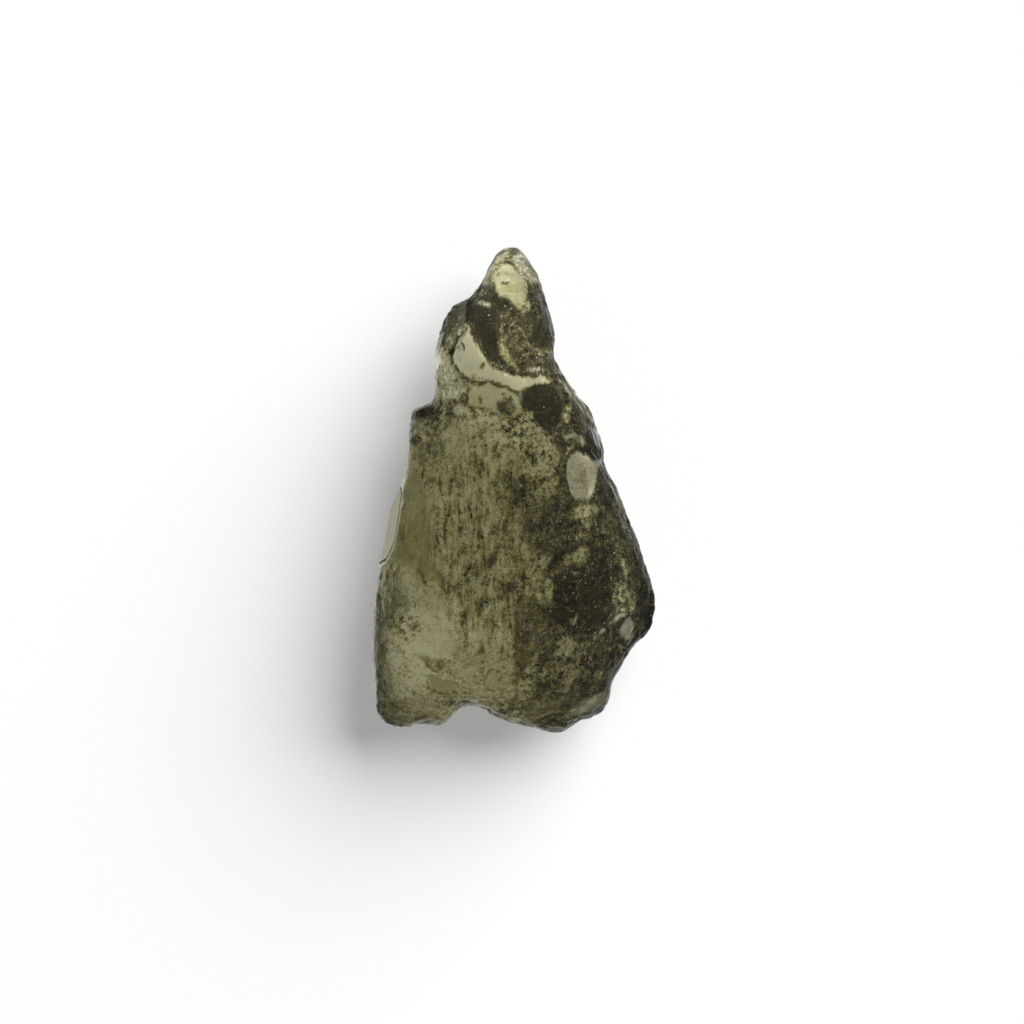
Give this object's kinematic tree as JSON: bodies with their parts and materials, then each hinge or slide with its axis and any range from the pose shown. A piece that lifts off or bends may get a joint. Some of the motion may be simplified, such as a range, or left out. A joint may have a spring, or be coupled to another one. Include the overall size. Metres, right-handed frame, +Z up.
{
  "type": "moldavite stone",
  "caption": "Raw moldavite, a pointed piece of see-through olive green natural glass with pits, flow grooves and shell-shaped chips, lying on a flat patch.",
  "frame": {"origin": "on the surface that the stone rests on, under the middle of its bounding box", "axes": "+Y along the stone towards its pointed end, +Z up from the resting surface, +X across the stone to its dark flank"},
  "size_m": [0.0162, 0.028, 0.0087],
  "materials": {
    "moldavite_glass": "etched natural glass, glossy in its hollows and finely frosted between them"
  },
  "bodies": {
    "root": {"moldavite": "moldavite_glass"}
  },
  "joints": []
}
